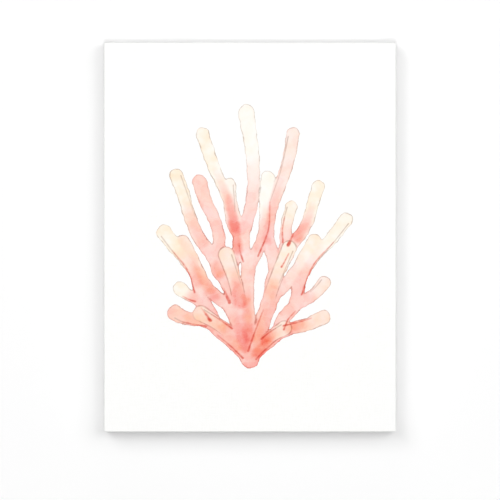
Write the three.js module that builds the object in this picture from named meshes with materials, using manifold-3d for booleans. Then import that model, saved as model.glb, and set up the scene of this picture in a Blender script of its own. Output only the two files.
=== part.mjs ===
// A stretched canvas wall print: printed canvas wrapped round four mitred pine stretcher bars,
// stapled on the back, tensioned by eight corner keys and hung from a sawtooth hanger.
// Units are millimetres. +Z is up, +Y points into the wall and the printed face looks along -Y.
// The origin is the notch of the hanger that takes the wall nail, on the plane of the wall.
import * as THREE from "three";
import { mergeVertices } from "three/addons/utils/BufferGeometryUtils.js";
import Module from "manifold-3d";

// ---- Driving dimensions ----
const FACE_WIDTH = 457.2; // 18 in
const FACE_HEIGHT = 609.6; // 24 in
const WRAP_DEPTH = 38.1; // 1.5 in, printed face to the back of the turned-over flap
const FIT_GAP = 0.3; // clearance between the cloth and the wood

const CANVAS_THICKNESS = 0.5;
const FLAP_WIDTH = 25; // how far the canvas turns over the back
const FOLD_RADIUS = 2; // outside radius of the wrapped edges
const FOLD_STEPS = 3;

const BAR_WIDTH = 38;
const BAR_LIP = 6; // the outer strip that carries the canvas
const BAR_FALL = 5; // how far the front of a bar falls away inside the lip
const MITRE_GAP = 0.2;

const KEY_THICKNESS = 4;
const KEY_LENGTH = 31;
const KEY_IN = 9; // how deep a key sits in its slot
const KEY_OUT = 7; // how far its wide end stands out of the slot
const KEY_TIP = 6; // width of its narrow end
const KEY_CORNER_CUT = 3;
const KEY_PAST_CORNER = 1; // how far its tip runs past the inner corner
const SLOT_SPARE = 2; // room in the slot past the wide end of its key

const STAPLE_CROWN = 10;
const STAPLE_LEG = 8;
const STAPLE_WIRE = 0.6; // thickness of the flat wire
const STAPLE_WIDTH = 1.2;
const STAPLE_INSET = 13.5; // from the wrapped edge to the row of staples
const STAPLE_END = 30; // from the corner to the first staple of a row
const STAPLE_END_TURN = 40; // degrees, across the corner fold
const STAPLE_TURN = 7; // degrees, the scatter of the rest
const STAPLE_SCATTER = 2.4; // radians of scatter phase from one staple to the next
const STAPLES_SHORT_SIDE = 9;
const STAPLES_LONG_SIDE = 11;

const HANGER_LENGTH = 45;
const HANGER_HEIGHT = 9.5;
const HANGER_THICKNESS = 0.9;
const HANGER_RISE = 1.2; // the gap behind the teeth for the head of the wall nail
const HANGER_FLAT = 9; // length of each flat end
const HANGER_RAMP = 3;
const HANGER_DROP = 35; // top edge of the canvas down to the hanging notch
const TOOTH_PITCH = 3;
const TOOTH_DEPTH = 1.8;
const TEETH = 7;

const NAIL_HEAD_RADIUS = 2.4;
const NAIL_HEAD_HEIGHT = 0.9;
const NAIL_RADIUS = 0.8;
const NAIL_LENGTH = 11;
const NAIL_INSET = 4.5; // from the end of the hanger
const NAIL_CLEARANCE = 0.35;
const NAIL_DOME = [[1, 0], [1, 0.35], [0.75, 0.8], [0.4, 1], [0, 1]]; // shares of radius, height
const NAIL_SEGMENTS = 18;
const HOLE_SEGMENTS = 14;

const BUMPER_RADIUS = 5.5;
const BUMPER_HEIGHT = 3;
const BUMPER_EDGE = 1;
const BUMPER_OFFSET = 160; // to each side of the middle
const BUMPER_SEGMENTS = 28;
const GLUE_GAP = 0.1;

const OVERRUN = 1; // how far a cut runs on past the surface that it opens
const WELD = 1e-4; // points closer than this are one

// ---- Planes that follow from them, along Y from the wall ----
const WALL = 0;
const BAR_BACK = WALL - BUMPER_HEIGHT - GLUE_GAP;
const FLAP_FRONT = BAR_BACK + FIT_GAP;
const FLAP_BACK = FLAP_FRONT + CANVAS_THICKNESS;
const FACE = FLAP_BACK - WRAP_DEPTH;
const SHEET_BACK = FACE + CANVAS_THICKNESS;
const BAR_FRONT = SHEET_BACK + FIT_GAP;
const BAR_MIDDLE = (BAR_BACK + BAR_FRONT) / 2;

const BAR_OUTSIDE = CANVAS_THICKNESS + FIT_GAP; // from the wrapped edge in to the wood
const BAR_INSIDE = BAR_OUTSIDE + BAR_WIDTH;
const BAR_RADIUS = FOLD_RADIUS - BAR_OUTSIDE;

// ---- Places on the hanger, from the middle of the face ----
const NOTCH_HEIGHT = FACE_HEIGHT / 2 - HANGER_DROP;
const NAIL_HEIGHT = NOTCH_HEIGHT - TOOTH_DEPTH + HANGER_HEIGHT / 2;
const NAIL_OFFSET = HANGER_LENGTH / 2 - NAIL_INSET;

// ---- Finishes ----
const material = (color, roughness, metalness = 0) =>
  new THREE.MeshStandardMaterial({ color, roughness, metalness });
const CANVAS = material(0xf7f6f3, 0.75);
const PINE = material(0xdcb98a, 0.65);
const KEY_WOOD = material(0xc9a070, 0.7);
const STEEL = material(0xb4b6b8, 0.35, 1);
const ZINC = material(0xc3c4c2, 0.3, 1);
const RUBBER = material(0x2a2a2b, 0.8);

// ---- Solids ----
const wasm = await Module();
wasm.setup();

/** A closed geometry as a solid that can be cut. */
function solidOf(geometry) {
  const bare = geometry.clone();
  bare.deleteAttribute("normal");
  bare.deleteAttribute("uv");
  const merged = mergeVertices(bare, WELD);
  return new wasm.Manifold(
    new wasm.Mesh({
      numProp: 3,
      vertProperties: merged.attributes.position.array,
      triVerts: new Uint32Array(merged.index.array),
    }),
  );
}

/** A cut solid as a geometry. */
function geometryOf(solid) {
  const mesh = solid.getMesh();
  const geometry = new THREE.BufferGeometry();
  geometry.setAttribute("position", new THREE.BufferAttribute(mesh.vertProperties, 3));
  geometry.setIndex(new THREE.BufferAttribute(mesh.triVerts, 1));
  geometry.computeVertexNormals();
  return geometry;
}

/** The first geometry with each of the others cut out of it. */
function cut(geometry, tools) {
  return geometryOf(tools.reduce((left, tool) => left.subtract(solidOf(tool)), solidOf(geometry)));
}

function named(name, geometry, finish) {
  const mesh = new THREE.Mesh(geometry, finish);
  mesh.name = name;
  return mesh;
}

/** A shape drawn in X and Z, as thick along Y as from front to back. */
function plate(points, front, back) {
  const shape = new THREE.Shape(points.map(([x, z]) => new THREE.Vector2(x, z)));
  const geometry = new THREE.ExtrudeGeometry(shape, { depth: back - front, bevelEnabled: false });
  return geometry.rotateX(Math.PI / 2).translate(0, back, 0);
}

/** A box from one corner to the other. */
function block(low, high) {
  const size = high.map((value, axis) => value - low[axis]);
  const middle = high.map((value, axis) => (value + low[axis]) / 2);
  return new THREE.BoxGeometry(...size).translate(...middle);
}

/** A rectangular slab centred on X and Z, with the edges of its two large faces rounded. */
function cushionedSlab(width, height, front, back, radius) {
  const [x, z] = [width / 2 - radius, height / 2 - radius];
  const corners = [[-x, -z], [x, -z], [x, z], [-x, z]];
  const shape = new THREE.Shape(corners.map(([a, b]) => new THREE.Vector2(a, b)));
  const geometry = new THREE.ExtrudeGeometry(shape, {
    depth: back - front - 2 * radius,
    bevelThickness: radius,
    bevelSize: radius,
    bevelSegments: FOLD_STEPS,
  });
  return geometry.rotateX(Math.PI / 2).translate(0, back - radius, 0);
}

/** A turned piece with its axis along +Y from the given plane; the profile is [radius, height]. */
function turned(profile, plane, segments) {
  const points = profile.map(([radius, height]) => new THREE.Vector2(radius, height));
  return new THREE.LatheGeometry(points, segments).translate(0, plane, 0);
}

/** Points of a quarter arc of the given radius round a centre, from one angle to the next. */
function quarterArc([x, y], radius, from) {
  return Array.from({ length: FOLD_STEPS + 1 }, (_, step) => {
    const angle = from + (step / FOLD_STEPS) * (Math.PI / 2);
    return [x + radius * Math.cos(angle), y + radius * Math.sin(angle)];
  });
}

// ---- The four sides ----
// Each side has a frame of its own: X runs along the wrapped edge, Z points in to the middle.
const SIDES = [
  { name: "bottom", length: FACE_WIDTH, turn: 0, staples: STAPLES_SHORT_SIDE },
  { name: "right", length: FACE_HEIGHT, turn: -Math.PI / 2, staples: STAPLES_LONG_SIDE },
  { name: "top", length: FACE_WIDTH, turn: Math.PI, staples: STAPLES_SHORT_SIDE },
  { name: "left", length: FACE_HEIGHT, turn: Math.PI / 2, staples: STAPLES_LONG_SIDE },
].map((side) => {
  const across = side.length === FACE_WIDTH ? FACE_HEIGHT : FACE_WIDTH;
  const outward = new THREE.Vector3(0, 0, -across / 2);
  outward.applyAxisAngle(new THREE.Vector3(0, 1, 0), side.turn);
  return { ...side, outward };
});

/** Moves a geometry from a side's own frame to the frame of the whole face. */
function fromSide(side, geometry) {
  return geometry.clone().rotateY(side.turn).translate(...side.outward.toArray());
}

/** Where the staples of a side sit along it, and how far each is turned. */
function stapleSpots(side) {
  const first = -side.length / 2 + STAPLE_END;
  const pitch = (-2 * first) / (side.staples - 1);
  return Array.from({ length: side.staples }, (_, i) => {
    const scatter = STAPLE_TURN * Math.sin(STAPLE_SCATTER * i + side.length);
    const turns = { 0: -STAPLE_END_TURN, [side.staples - 1]: STAPLE_END_TURN };
    return { along: first + i * pitch, turn: THREE.MathUtils.degToRad(turns[i] ?? scatter) };
  });
}

/** Moves a geometry made about the middle of a staple to its spot on a side. */
function toSpot(geometry, spot) {
  return geometry.rotateY(spot.turn).translate(spot.along, 0, STAPLE_INSET);
}

/** The two clearance holes for a staple's legs, through the flap and into the bar. */
function legHoles(spot) {
  const leg = STAPLE_CROWN / 2 - STAPLE_WIRE / 2;
  const [halfX, halfZ] = [STAPLE_WIRE / 2 + FIT_GAP, STAPLE_WIDTH / 2 + FIT_GAP];
  const bottom = FLAP_BACK - STAPLE_LEG - 2 * FIT_GAP;
  return [-leg, leg].map((x) =>
    toSpot(block([x - halfX, bottom, -halfZ], [x + halfX, WALL, halfZ]), spot),
  );
}

/** A staple: a flat crown on the canvas and two chisel-pointed legs. */
function stapleGeometry(spot) {
  const [half, wire] = [STAPLE_CROWN / 2, STAPLE_WIRE];
  const top = FLAP_BACK + GLUE_GAP + wire;
  const [shoulder, tip] = [top - STAPLE_LEG + 2 * wire, top - STAPLE_LEG];
  const outline = [
    [-half, top], [-half, tip], [-half + wire, shoulder], [-half + wire, top - wire],
    [half - wire, top - wire], [half - wire, shoulder], [half, tip], [half, top],
  ];
  const shape = new THREE.Shape(outline.map(([x, y]) => new THREE.Vector2(x, y)));
  const geometry = new THREE.ExtrudeGeometry(shape, { depth: STAPLE_WIDTH, bevelEnabled: false });
  return toSpot(geometry.translate(0, 0, -STAPLE_WIDTH / 2), spot);
}

// ---- Stretcher bars ----
/** Section of a bar as [distance in from the wrapped edge, Y], with its two outer edges eased. */
function barSection() {
  const [outside, inside, radius] = [BAR_OUTSIDE, BAR_INSIDE, BAR_RADIUS];
  const arcs = {
    front: quarterArc([outside + radius, BAR_FRONT + radius], radius, Math.PI),
    back: quarterArc([outside + radius, BAR_BACK - radius], radius, Math.PI / 2),
  };
  return [
    ...arcs.front,
    [outside + BAR_LIP, BAR_FRONT],
    [inside, BAR_FRONT + BAR_FALL],
    [inside, BAR_BACK],
    ...arcs.back,
  ];
}

/** A bar in its side's frame: the section run along X between two 45 degree mitres. */
function mitredBar(length) {
  const section = barSection();
  const count = section.length;
  const positions = [-1, 1].flatMap((end) =>
    section.flatMap(([depth, y]) => [end * (length / 2 - depth - MITRE_GAP), y, depth]),
  );
  const walls = section.flatMap((_, i) => {
    const next = (i + 1) % count;
    return [i, i + count, next + count, i, next + count, next];
  });
  const flat = section.map(([depth, y]) => new THREE.Vector2(depth, y));
  const caps = THREE.ShapeUtils.triangulateShape(flat, []).flatMap(([a, b, c]) => [
    a, b, c, c + count, b + count, a + count,
  ]);
  const geometry = new THREE.BufferGeometry();
  geometry.setAttribute("position", new THREE.Float32BufferAttribute(positions, 3));
  geometry.setIndex([...walls, ...caps]);
  return geometry;
}

/** Corner-key outline in a side's frame, near its end: end is -1 or 1 along X. */
function keyOutline(side, end) {
  const fromCorner = ([along, out]) => [
    end * (side.length / 2 - BAR_INSIDE - along),
    BAR_INSIDE + out,
  ];
  return [
    [-KEY_PAST_CORNER, -KEY_IN],
    [-KEY_PAST_CORNER, KEY_TIP - KEY_IN],
    [KEY_LENGTH - KEY_CORNER_CUT, KEY_OUT],
    [KEY_LENGTH, KEY_OUT - KEY_CORNER_CUT],
    [KEY_LENGTH, -KEY_IN],
  ].map(fromCorner);
}

/** The slot that a key is driven into, open to the inside of the bar. */
function keySlot(side, end) {
  const half = KEY_THICKNESS / 2 + FIT_GAP;
  const corner = side.length / 2 - BAR_INSIDE;
  const reach = [corner + KEY_PAST_CORNER + FIT_GAP, corner - KEY_LENGTH - SLOT_SPARE];
  const ends = reach.map((x) => end * x);
  return block(
    [Math.min(...ends), BAR_MIDDLE - half, BAR_INSIDE - KEY_IN - FIT_GAP],
    [Math.max(...ends), BAR_MIDDLE + half, BAR_INSIDE + OVERRUN],
  );
}

/** Clearance holes for the hanger's two nails, from one plane to another along Y. */
function nailHoles(front, back) {
  const radius = NAIL_RADIUS + NAIL_CLEARANCE;
  return [-NAIL_OFFSET, NAIL_OFFSET].map((x) =>
    new THREE.CylinderGeometry(radius, radius, back - front, HOLE_SEGMENTS).translate(
      x, (front + back) / 2, NAIL_HEIGHT,
    ),
  );
}

function barMesh(side) {
  const slots = [-1, 1].map((end) => keySlot(side, end));
  const holes = stapleSpots(side).flatMap(legHoles);
  const nails = side.name === "top" ? nailHoles(BAR_BACK - NAIL_LENGTH, BAR_BACK + OVERRUN) : [];
  const tools = [...slots, ...holes].map((tool) => fromSide(side, tool));
  const bar = fromSide(side, mitredBar(side.length));
  return named(`stretcher_bar_${side.name}`, cut(bar, [...tools, ...nails]), PINE);
}

function keyMesh(side, end) {
  const half = KEY_THICKNESS / 2;
  const outline = keyOutline(side, end);
  const key = plate(outline, BAR_MIDDLE - half, BAR_MIDDLE + half);
  const place = end < 0 ? "start" : "end";
  return named(`corner_key_${side.name}_${place}`, fromSide(side, key), KEY_WOOD);
}

function stapleMeshes(side) {
  return stapleSpots(side).map((spot, i) =>
    named(`staple_${side.name}_${i + 1}`, fromSide(side, stapleGeometry(spot)), STEEL),
  );
}

// ---- Canvas ----
/** One sheet: the printed face, the four wrapped sides and the flap turned over the back. */
function canvasMesh() {
  const outside = cushionedSlab(FACE_WIDTH, FACE_HEIGHT, FACE, FLAP_BACK, FOLD_RADIUS);
  const inside = cushionedSlab(
    FACE_WIDTH - 2 * CANVAS_THICKNESS,
    FACE_HEIGHT - 2 * CANVAS_THICKNESS,
    SHEET_BACK,
    FLAP_FRONT,
    FOLD_RADIUS - CANVAS_THICKNESS,
  );
  const [x, z] = [FACE_WIDTH / 2 - FLAP_WIDTH, FACE_HEIGHT / 2 - FLAP_WIDTH];
  const window = block([-x, BAR_MIDDLE, -z], [x, WALL, z]);
  const holes = SIDES.flatMap((side) =>
    stapleSpots(side).flatMap(legHoles).map((hole) => fromSide(side, hole)),
  );
  return named("canvas", cut(outside, [inside, window, ...holes]), CANVAS);
}

// ---- Hanger ----
/** Outline of the hanger in X and Z about its notch, with the teeth along its lower edge. */
function hangerOutline() {
  const [x, low] = [HANGER_LENGTH / 2, -TOOTH_DEPTH];
  const teeth = Array.from({ length: TEETH }, (_, i) => (i - (TEETH - 1) / 2) * TOOTH_PITCH);
  const half = TOOTH_PITCH / 2;
  const edge = teeth.flatMap((notch) => [[notch - half, low], [notch, 0]]);
  const last = [teeth.at(-1) + half, low];
  return [[-x, low], ...edge, last, [x, low], [x, low + HANGER_HEIGHT], [-x, low + HANGER_HEIGHT]];
}

/** Side section of the hanger in X and Y: two flat ends and a middle that stands off the wood. */
function hangerSection() {
  const base = BAR_BACK + GLUE_GAP;
  const [end, foot] = [HANGER_LENGTH / 2, HANGER_LENGTH / 2 - HANGER_FLAT];
  const top = foot - HANGER_RAMP;
  const half = [[top, HANGER_RISE], [foot, 0], [end, 0]];
  const line = [...half.map(([x, rise]) => [-x, rise]).reverse(), ...half];
  const under = line.map(([x, rise]) => [x, base + rise]);
  const over = under.map(([x, y]) => [x, y + HANGER_THICKNESS]).reverse();
  return [...under, ...over];
}

function hangerMesh() {
  const section = hangerSection().map(([x, y]) => new THREE.Vector2(x, y));
  const options = { depth: 2 * HANGER_HEIGHT, bevelEnabled: false };
  const strip = new THREE.ExtrudeGeometry(new THREE.Shape(section), options);
  strip.translate(0, 0, -HANGER_HEIGHT);
  const punched = solidOf(strip).intersect(solidOf(plate(hangerOutline(), BAR_BACK, WALL)));
  const blank = geometryOf(punched).translate(0, 0, NOTCH_HEIGHT);
  return named("sawtooth_hanger", cut(blank, nailHoles(BAR_BACK, WALL)), ZINC);
}

/** A round-headed nail through one end of the hanger. */
function nailMesh(x, place) {
  const seat = BAR_BACK + 2 * GLUE_GAP + HANGER_THICKNESS;
  const shank = [[0, -NAIL_LENGTH], [NAIL_RADIUS, 2 * NAIL_RADIUS - NAIL_LENGTH], [NAIL_RADIUS, 0]];
  const head = NAIL_DOME.map(([out, up]) => [out * NAIL_HEAD_RADIUS, up * NAIL_HEAD_HEIGHT]);
  const nail = turned([...shank, ...head], seat, NAIL_SEGMENTS).translate(x, 0, NAIL_HEIGHT);
  return named(`hanger_nail_${place}`, nail, STEEL);
}

// ---- Bumpers ----
/** A stick-on rubber dot on the bare wood of the bottom bar; its back face touches the wall. */
function bumperMesh(x, place) {
  const [radius, edge] = [BUMPER_RADIUS, BUMPER_EDGE];
  const rim = quarterArc([radius - edge, BUMPER_HEIGHT - edge], edge, 0);
  const profile = [[0, 0], [radius, 0], ...rim, [0, BUMPER_HEIGHT]];
  const bareStrip = (FLAP_WIDTH + BAR_INSIDE) / 2;
  const bumper = turned(profile, WALL - BUMPER_HEIGHT, BUMPER_SEGMENTS);
  bumper.translate(x, 0, -FACE_HEIGHT / 2 + bareStrip);
  return named(`wall_bumper_${place}`, bumper, RUBBER);
}

// ---- Assembly ----
// Everything is made about the middle of the face, which hangs below the notch.
const face = new THREE.Group();
face.position.z = -NOTCH_HEIGHT;
face.add(canvasMesh());
for (const side of SIDES) {
  face.add(barMesh(side), keyMesh(side, -1), keyMesh(side, 1), ...stapleMeshes(side));
}
face.add(hangerMesh());
for (const [end, place] of [[-1, "left"], [1, "right"]]) {
  face.add(nailMesh(end * NAIL_OFFSET, place));
  face.add(bumperMesh(end * BUMPER_OFFSET, place));
}

const canvasPrint = new THREE.Group();
canvasPrint.add(face);

export default canvasPrint;
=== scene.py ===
"""Looks of a frameless canvas print: a watercolour coral on white canvas over wooden stretcher bars.

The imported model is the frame. Its bars, keys, staples, hanger and bumpers are dressed here. Its canvas
is made again as cloth with folded corners, and carries the coral as a thin layer of ink.
Lengths are in metres, except where a name ends in _mm.
"""

import logging
import math
from dataclasses import dataclass, field
from enum import Enum

import bpy
import numpy as np
from bpy.types import Material, Node, NodeSocket, NodeTree, Object
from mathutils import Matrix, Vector

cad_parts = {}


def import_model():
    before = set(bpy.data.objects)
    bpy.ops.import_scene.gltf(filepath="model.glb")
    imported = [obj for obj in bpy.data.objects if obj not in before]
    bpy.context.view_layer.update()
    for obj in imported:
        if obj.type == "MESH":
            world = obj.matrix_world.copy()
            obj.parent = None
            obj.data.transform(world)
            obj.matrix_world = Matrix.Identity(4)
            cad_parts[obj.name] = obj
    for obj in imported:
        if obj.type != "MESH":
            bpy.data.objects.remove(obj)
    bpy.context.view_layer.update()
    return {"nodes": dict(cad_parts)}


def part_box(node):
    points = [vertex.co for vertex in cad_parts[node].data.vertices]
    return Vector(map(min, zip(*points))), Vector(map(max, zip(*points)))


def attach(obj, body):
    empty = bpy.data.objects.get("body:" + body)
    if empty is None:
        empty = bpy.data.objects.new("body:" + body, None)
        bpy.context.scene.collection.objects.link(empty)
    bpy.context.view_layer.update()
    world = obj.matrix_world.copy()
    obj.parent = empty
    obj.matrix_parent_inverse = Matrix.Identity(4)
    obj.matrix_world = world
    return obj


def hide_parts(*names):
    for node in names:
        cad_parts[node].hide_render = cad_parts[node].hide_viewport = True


MM = 0.001
LOG = logging.getLogger("canvas_print")


# ---------------------------------------------------------------- helpers


def linear(colour: str) -> tuple[float, float, float, float]:
    """Turns an sRGB hex colour into the linear red, green, blue and alpha that a socket takes."""
    channels = [int(colour[i : i + 2], 16) / 255 for i in (1, 3, 5)]
    straight = [c / 12.92 if c <= 0.04045 else ((c + 0.055) / 1.055) ** 2.4 for c in channels]
    return (*straight, 1.0)


def feed(node: Node, inputs: dict | tuple) -> None:
    """Sets inputs of a node, each to a value or to the socket that feeds it.

    Args:
        node: the node.
        inputs: input name or number to what goes in, or what goes into the first ones in order.
    """
    for key, value in inputs.items() if isinstance(inputs, dict) else enumerate(inputs):
        if isinstance(value, NodeSocket):
            node.id_data.links.new(value, node.inputs[key])
        else:
            node.inputs[key].default_value = value


def configure(thing: object, **settings: object) -> None:
    """Gives a node, a modifier, a lamp or the like its settings."""
    for name, value in settings.items():
        setattr(thing, name, value)


def add(
    tree: NodeTree, kind: str, inputs: dict | tuple = (), output: int | str = 0, **settings: object
) -> NodeSocket:
    """Adds a shader node with its settings and whatever feeds it.

    Args:
        tree: the tree that gets the node.
        kind: its type, without the ShaderNode in front.
        inputs: what goes in, as feed takes it.
        output: name or number of the output wanted.
        **settings: the node's own properties.

    Returns:
        The output socket.
    """
    node = tree.nodes.new(f"ShaderNode{kind}")
    configure(node, **settings)
    feed(node, inputs)
    return node.outputs[output]


def smoothstep(low: float, high: float, value: np.ndarray) -> np.ndarray:
    """Rises smoothly from 0 at low to 1 at high."""
    share = np.clip((value - low) / (high - low), 0.0, 1.0)
    return share * share * (3.0 - 2.0 * share)


def hill(offset: np.ndarray) -> np.ndarray:
    """A smooth bump, 1 at nought and almost gone at 2."""
    return np.exp(-(offset**2))


def mesh_object(
    name: str, points: np.ndarray, faces: list, attributes: dict[str, np.ndarray] | None = None
) -> Object:
    """Makes a smooth-shaded mesh object.

    Args:
        name: the piece's name.
        points: one row of x, y and z per vertex.
        faces: vertex numbers of each face, anticlockwise seen from outside.
        attributes: values per vertex, one number or three each, for the shaders to read.

    Returns:
        The new object, linked to the scene.
    """
    mesh = bpy.data.meshes.new(name)
    mesh.from_pydata(points.tolist(), [], faces)
    for key, values in (attributes or {}).items():
        kind, slot = ("FLOAT", "value") if values.ndim == 1 else ("FLOAT_VECTOR", "vector")
        made = mesh.attributes.new(key, kind, "POINT")
        made.data.foreach_set(slot, np.ascontiguousarray(values, dtype=np.float32).ravel())
    mesh.shade_smooth()
    piece = bpy.data.objects.new(name, mesh)
    bpy.context.scene.collection.objects.link(piece)
    return piece


# ---------------------------------------------------------------- finishes


@dataclass(frozen=True)
class Finish:
    """A real surface: what it is called, and how the eye sees it."""

    name: str

    def build(self) -> Material:
        """Makes the Blender material."""
        material = bpy.data.materials.new(self.name)
        material.use_nodes = True
        tree = material.node_tree
        feed(tree.nodes["Principled BSDF"], self.paint(tree))
        return material

    def paint(self, tree: NodeTree) -> dict[str, object]:
        """Lays the finish out in nodes.

        Args:
            tree: the material's tree.

        Returns:
            What goes into each input of the Principled BSDF.
        """
        raise NotImplementedError


@dataclass(frozen=True)
class Weave:
    """Plain weave of the canvas: threads over and under, with thick slubs along them.

    The real threads lie 0.55 mm apart. They are drawn at twice that, so that they show in a close view.
    """

    pitch: float = 1.1 * MM
    slub_length: float = 16 * MM
    slub_width: float = 1.3 * MM

    def height(self, tree: NodeTree) -> NodeSocket:
        """Lays out the weave over the cloth's own flat coordinates.

        Args:
            tree: the material's tree.

        Returns:
            Height, about 0 to 1.
        """
        place = add(tree, "Attribute", output="Vector", attribute_name="cloth")
        turn = add(tree, "VectorMath", {0: place, "Scale": math.pi / self.pitch}, operation="SCALE")
        wave = add(tree, "VectorMath", (turn,), operation="SINE")
        parts = add(tree, "SeparateXYZ", (wave,)).node.outputs
        crossing = add(tree, "Math", (parts["X"], parts["Y"]), operation="MULTIPLY")
        slubs = [self.slubs(tree, place, flip) for flip in (False, True)]
        slub = add(tree, "Math", (slubs[0], slubs[1]), operation="ADD")
        return add(tree, "Math", (crossing, 0.28, slub), operation="MULTIPLY_ADD")

    def slubs(self, tree: NodeTree, place: NodeSocket, flip: bool) -> NodeSocket:
        """Thick places in the threads of one direction.

        Args:
            tree: the material's tree.
            place: the cloth's flat coordinates.
            flip: False for threads across the cloth, True for those up it.

        Returns:
            Height, about 0 to 1.
        """
        fine, coarse = 1 / self.slub_width, 1 / self.slub_length
        scale = (fine, coarse, 1.0) if flip else (coarse, fine, 1.0)
        spread = add(tree, "VectorMath", (place, scale), operation="MULTIPLY")
        return add(tree, "TexNoise", {"Vector": spread, "Scale": 1.0, "Detail": 2.0})


@dataclass(frozen=True)
class CoatedCanvas(Finish):
    """Cotton and polyester canvas with a rolled white print coating: matt, with the weave just proud.

    The coating fills the weave, so light grazing the sides picks out only slubs and shallow crossings.
    """

    thread: str = "#FEFEFD"
    # gap is painted shade: the slightly darker colour given to the weave's low places
    gap: str = "#F9F9F7"
    depth: float = 0.1 * MM
    shown: tuple[float, float] = (0.5, 1.1)
    roughness: float = 0.72
    gloss: float = 0.3
    fuzz: float = 0.0
    weave: Weave = Weave()

    def paint(self, tree: NodeTree) -> dict[str, object]:
        """Threads and the hollows between them, in relief, and in colour: the darker colour of the
        hollows is painted shade.
        """
        height = self.weave.height(tree)
        shade = add(tree, "MapRange", (height, *self.shown, 0.0, 1.0))
        # painted shade: the weave's low places take the gap colour, its high places the thread colour
        colours = {0: shade, 6: linear(self.gap), 7: linear(self.thread)}
        return {
            "Base Color": add(tree, "Mix", colours, output=2, data_type="RGBA"),
            "Normal": add(tree, "Bump", {"Height": height, "Strength": 1.0, "Distance": self.depth}),
            "Roughness": self.roughness,
            "Specular IOR Level": self.gloss,
            "Sheen Weight": self.fuzz,
        }


@dataclass(frozen=True)
class RawCanvas(CoatedCanvas):
    """The uncoated back of the same cloth: cream cotton, soft and fuzzy, its threads in full relief."""

    thread: str = "#EFE8D9"
    # gap is painted shade: a deeper cream given to the low places between the threads
    gap: str = "#D8CDB8"
    depth: float = 0.3 * MM
    shown: tuple[float, float] = (0.55, 1.25)
    roughness: float = 0.92
    gloss: float = 0.2
    fuzz: float = 0.15


class Pigment(Enum):
    """The paints of the picture, each by the colour of one full wash of it."""

    CORAL = "#F5806F"
    ROSE = "#F68C8D"
    PEACH = "#FFE2C0"
    RED = "#CB4A40"
    SEPIA = "#9A857B"

    @property
    def absorbed(self) -> tuple[float, float, float]:
        """How much a full wash takes from red, green and blue."""
        return tuple(-math.log(max(c, 0.02)) for c in linear(self.value)[:3])


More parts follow.
